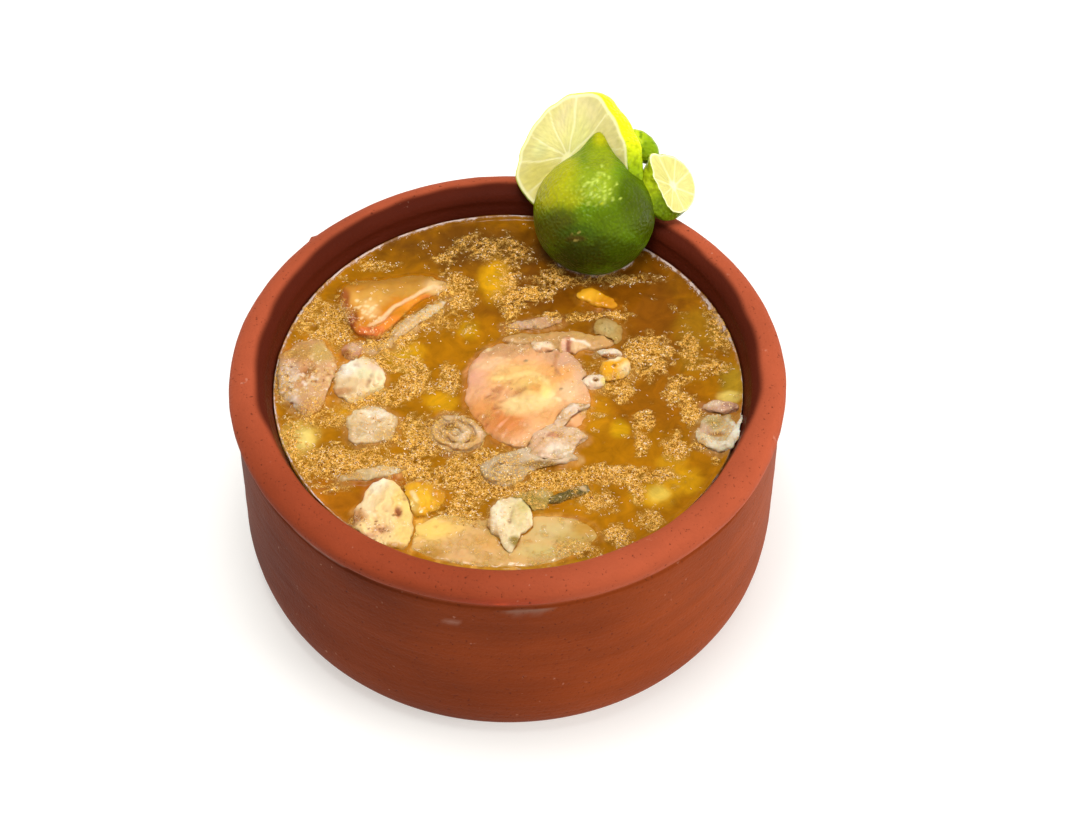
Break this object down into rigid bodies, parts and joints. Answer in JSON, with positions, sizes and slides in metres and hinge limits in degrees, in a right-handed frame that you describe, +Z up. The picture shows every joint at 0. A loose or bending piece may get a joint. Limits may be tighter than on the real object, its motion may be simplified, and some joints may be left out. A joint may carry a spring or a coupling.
{
  "type": "bowl of trotter soup",
  "caption": "Round straight-walled clay bowl with a rolled rim, filled with amber soup and pieces of trotter, with a lime and lime slices at the back rim.",
  "frame": {"origin": "centre of the bowl's flat underside", "axes": "+Z up, -Y to the front, so that the lime is at the back; +X to the right"},
  "size_m": [0.18, 0.1924, 0.1086],
  "materials": {
    "bowl": "matt fired clay, unglazed, brick red",
    "lime": "waxy lime peel with pores, semi-gloss",
    "lime_wheel": "wet cut lime, pale pulp inside a yellow-green rind",
    "lime_end_slice": "wet cut lime, pale pulp with a green rind behind",
    "lime_rind_piece": "waxy lime peel, semi-gloss",
    "gristle_right": "wet boiled gristle, pale",
    "gristle_strip": "wet boiled gristle, pale",
    "skin_flap": "wet boiled skin, tan with pale and pink edges",
    "frayed_tissue": "wet frayed tissue, pale pink",
    "knuckle": "wet boiled skin and fat, peach",
    "fat_right": "wet soft fat, yellow",
    "cartilage_back": "wet translucent cartilage, olive grey",
    "ridged_strip": "wet ridged tissue, tan",
    "folded_skin": "wet folded skin, amber orange",
    "skin_fat_edge": "wet fat edge, cream",
    "pink_bit": "wet tissue, pink",
    "cartilage_left": "wet cartilage, cream white",
    "cartilage_front": "wet cartilage, cream with froth on it",
    "tendon_left": "wet stringy tendon, tan and pink",
    "bone_corner": "wet cut bone end, cream",
    "fat_left": "wet soft fat, yellow",
    "gristle_stub": "wet gristle, cream",
    "cartilage_slab": "wet translucent cartilage, pale straw",
    "dark_strand": "wet leafy shred, dark olive",
    "green_tendon": "wet tendon, olive",
    "ring_curl": "wet curled tendon rings, tan",
    "shell_tendon": "wet curled tendon, grey tan",
    "pink_stick": "wet tissue, pink",
    "right_crescent": "wet curled gristle, pale",
    "fat_back": "wet soft fat, yellow",
    "pale_strip": "wet pale strip of tissue",
    "soup": "cloudy amber broth, wet and glossy, with froth"
  },
  "bodies": {
    "root": {"bowl": "bowl", "lime": "lime", "lime_wheel": "lime_wheel", "lime_end_slice": "lime_end_slice", "lime_rind_piece": "lime_rind_piece", "gristle_right": "gristle_right", "gristle_strip": "gristle_strip", "skin_flap": "skin_flap", "frayed_tissue": "frayed_tissue", "knuckle": "knuckle", "fat_right": "fat_right", "cartilage_back": "cartilage_back", "ridged_strip": "ridged_strip", "folded_skin": "folded_skin", "skin_fat_edge": "skin_fat_edge", "pink_bit": "pink_bit", "cartilage_left": "cartilage_left", "cartilage_front": "cartilage_front", "tendon_left": "tendon_left", "bone_corner": "bone_corner", "fat_left": "fat_left", "gristle_stub": "gristle_stub", "cartilage_slab": "cartilage_slab", "dark_strand": "dark_strand", "green_tendon": "green_tendon", "ring_curl": "ring_curl", "shell_tendon": "shell_tendon", "pink_stick": "pink_stick", "right_crescent": "right_crescent", "fat_back": "fat_back", "pale_strip": "pale_strip", "soup": "soup"}
  },
  "joints": []
}
